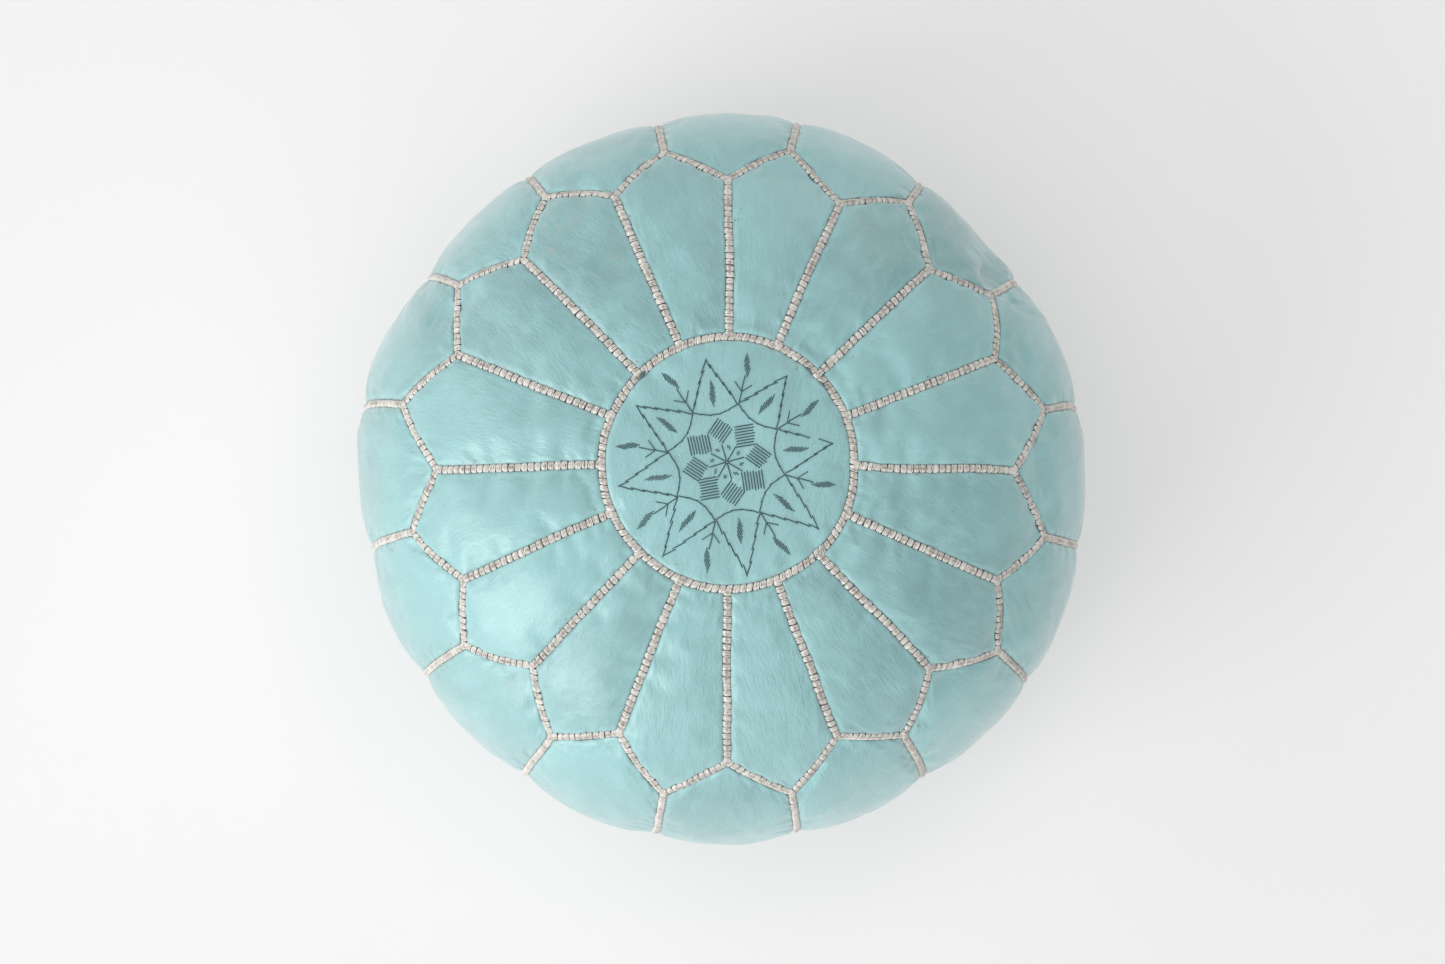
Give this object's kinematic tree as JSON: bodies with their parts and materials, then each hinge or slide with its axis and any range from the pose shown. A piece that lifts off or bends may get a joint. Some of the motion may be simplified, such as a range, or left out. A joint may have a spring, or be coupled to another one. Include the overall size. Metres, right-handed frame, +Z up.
{
  "type": "leather pouf",
  "caption": "Round stuffed leather floor pouf with a petal pattern of whip-stitched panels, a stitched star on its medallion and a zipped base.",
  "frame": {"origin": "middle of the base, on the surface that the pouf stands on", "axes": "+Z up through the middle of the medallion; +X along the zip, through the middle of side_panel_01; +Y across the zip"},
  "size_m": [0.53, 0.53, 0.3308],
  "materials": {
    "leather": "satin",
    "base_leather": "matte",
    "seam_thread": "matte",
    "star_thread": "satin",
    "zip_tape": "matte",
    "zip_metal": "satin",
    "liner_cloth": "matte",
    "filling": "matte"
  },
  "bodies": {
    "pouf": {"medallion": "leather", "petal_01": "leather", "petal_02": "leather", "petal_03": "leather", "petal_04": "leather", "petal_05": "leather", "petal_06": "leather", "petal_07": "leather", "petal_08": "leather", "petal_09": "leather", "petal_10": "leather", "petal_11": "leather", "petal_12": "leather", "petal_13": "leather", "petal_14": "leather", "petal_15": "leather", "petal_16": "leather", "side_panel_01": "leather", "side_panel_02": "leather", "side_panel_03": "leather", "side_panel_04": "leather", "side_panel_05": "leather", "side_panel_06": "leather", "side_panel_07": "leather", "side_panel_08": "leather", "side_panel_09": "leather", "side_panel_10": "leather", "side_panel_11": "leather", "side_panel_12": "leather", "side_panel_13": "leather", "side_panel_14": "leather", "side_panel_15": "leather", "side_panel_16": "leather", "base_front": "base_leather", "base_back": "base_leather", "medallion_stitching": "seam_thread", "petal_stitching": "seam_thread", "zigzag_stitching": "seam_thread", "side_stitching": "seam_thread", "base_stitching": "seam_thread", "star_embroidery": "star_thread", "zip_tape_front": "zip_tape", "zip_tape_back": "zip_tape", "zip_teeth_front": "zip_metal", "zip_teeth_back": "zip_metal", "zip_stops": "zip_metal", "zip_stitching": "seam_thread", "liner": "liner_cloth", "filling": "filling"},
    "slider": {"zip_slider": "zip_metal"},
    "pull": {"zip_pull": "zip_metal"}
  },
  "joints": [
    {"name": "zip_travel", "type": "slide", "parent": "pouf", "child": "slider", "axis": [-1, 0, 0], "range_m": [0, 0.24]},
    {"name": "pull_swing", "type": "hinge", "parent": "slider", "child": "pull", "pos_m": [0.1245, 0, 0.0067], "axis": [0, 1, 0], "range_deg": [0, 175]}
  ]
}
